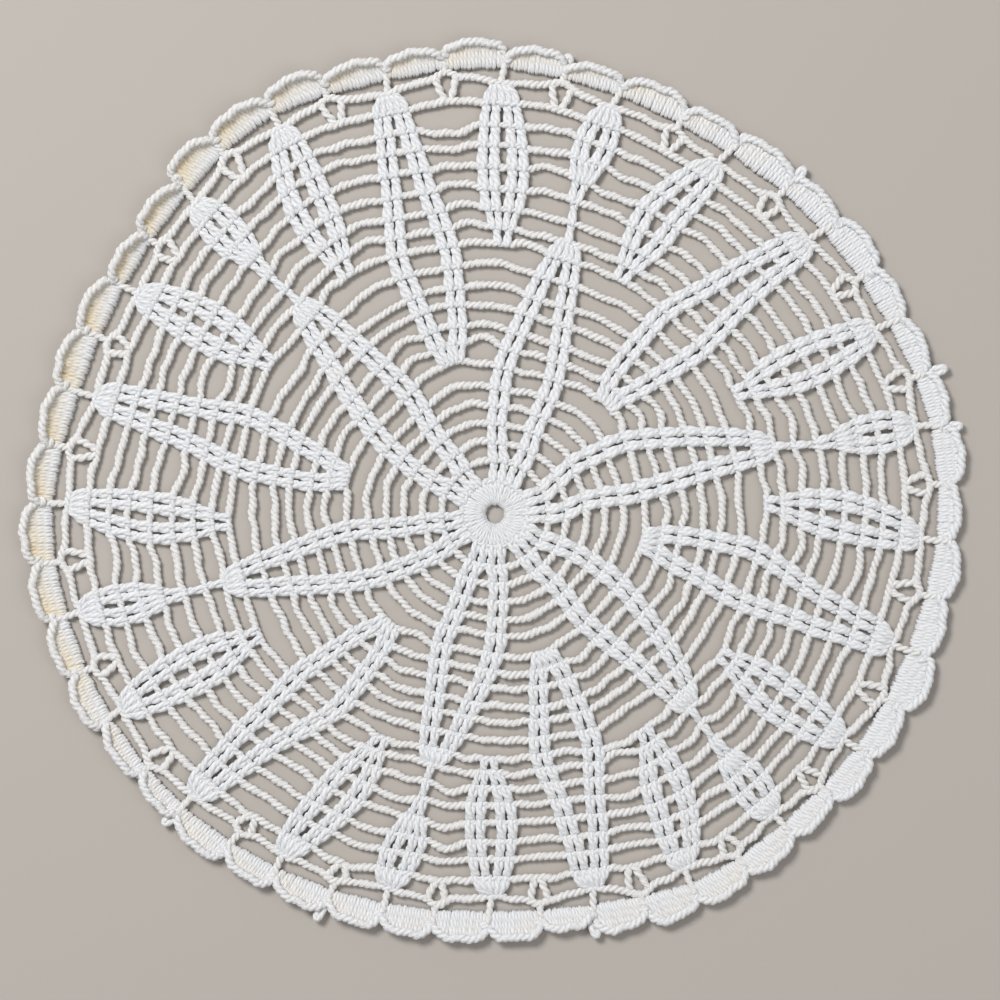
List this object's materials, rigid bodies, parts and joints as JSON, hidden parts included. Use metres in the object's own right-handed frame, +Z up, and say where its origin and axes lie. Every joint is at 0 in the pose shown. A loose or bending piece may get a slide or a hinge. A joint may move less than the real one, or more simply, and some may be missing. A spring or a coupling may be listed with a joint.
{
  "type": "lace doily",
  "caption": "Round crocheted lace doily with parting leaf columns, chain rings and a curled scalloped edge, lying flat.",
  "frame": {"origin": "middle of the outline's bounding box, on the flat underside", "axes": "+Z up through the thickness; +Y towards the top of the doily as laid, with +X to its right"},
  "size_m": [0.3044, 0.2912, 0.0067],
  "materials": {
    "cotton": "matt crocheted cotton, white with a slight cream edge"
  },
  "bodies": {
    "root": {"doily": "cotton"}
  },
  "joints": []
}
